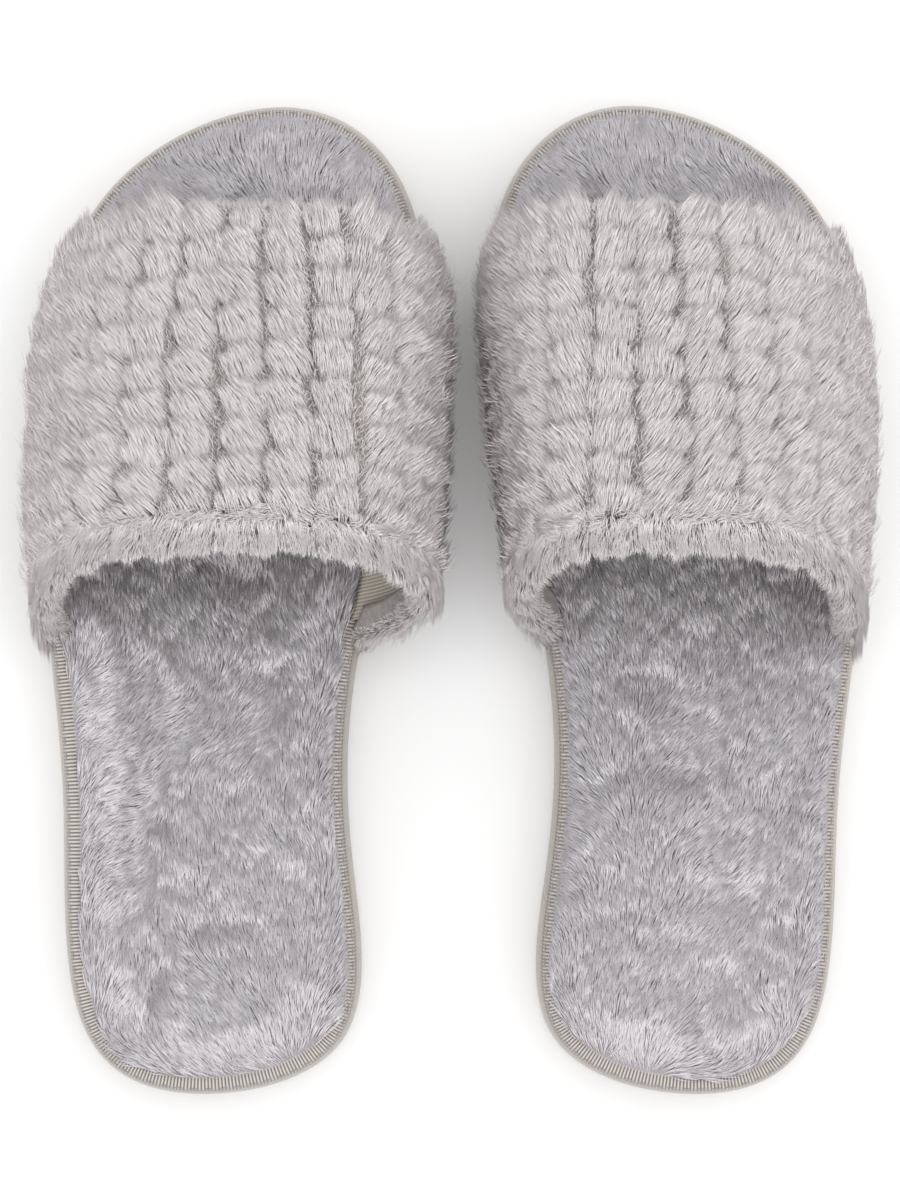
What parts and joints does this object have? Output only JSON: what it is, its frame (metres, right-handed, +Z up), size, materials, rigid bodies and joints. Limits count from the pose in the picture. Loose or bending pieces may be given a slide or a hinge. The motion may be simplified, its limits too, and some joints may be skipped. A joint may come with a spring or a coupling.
{
  "type": "spa slippers",
  "caption": "Pair of open-toe, open-heel slide slippers: flat platform soles, plush footbeds and a broad furry band over each instep.",
  "frame": {"origin": "on the floor, midway between the two slippers and midway along them", "axes": "+Z up, +Y toward the toes, +X from the left slipper toward the right one"},
  "size_m": [0.2243, 0.2599, 0.0841],
  "materials": {
    "outsole_rubber": "matte",
    "insole_board": "matte",
    "foam": "matte",
    "sock_plush": "matte",
    "cover_tape": "matte",
    "band_fur": "matte",
    "lining_twill": "matte",
    "thread": "satin"
  },
  "bodies": {
    "left_slipper": {"left_outsole": "outsole_rubber", "left_insole_board": "insole_board", "left_platform_foam": "foam", "left_cushion_foam": "foam", "left_sock_lining": "sock_plush", "left_platform_cover": "cover_tape", "left_band_fur": "band_fur", "left_band_foam": "foam", "left_band_lining": "lining_twill", "left_perimeter_stitching": "thread", "left_front_topline_stitching": "thread", "left_rear_topline_stitching": "thread"},
    "right_slipper": {"right_outsole": "outsole_rubber", "right_insole_board": "insole_board", "right_platform_foam": "foam", "right_cushion_foam": "foam", "right_sock_lining": "sock_plush", "right_platform_cover": "cover_tape", "right_band_fur": "band_fur", "right_band_foam": "foam", "right_band_lining": "lining_twill", "right_perimeter_stitching": "thread", "right_front_topline_stitching": "thread", "right_rear_topline_stitching": "thread"}
  },
  "joints": [
    {"name": "right_slipper_lift", "type": "slide", "parent": "left_slipper", "child": "right_slipper", "axis": [0, 0, 1], "range_m": [0, 0.15]}
  ]
}
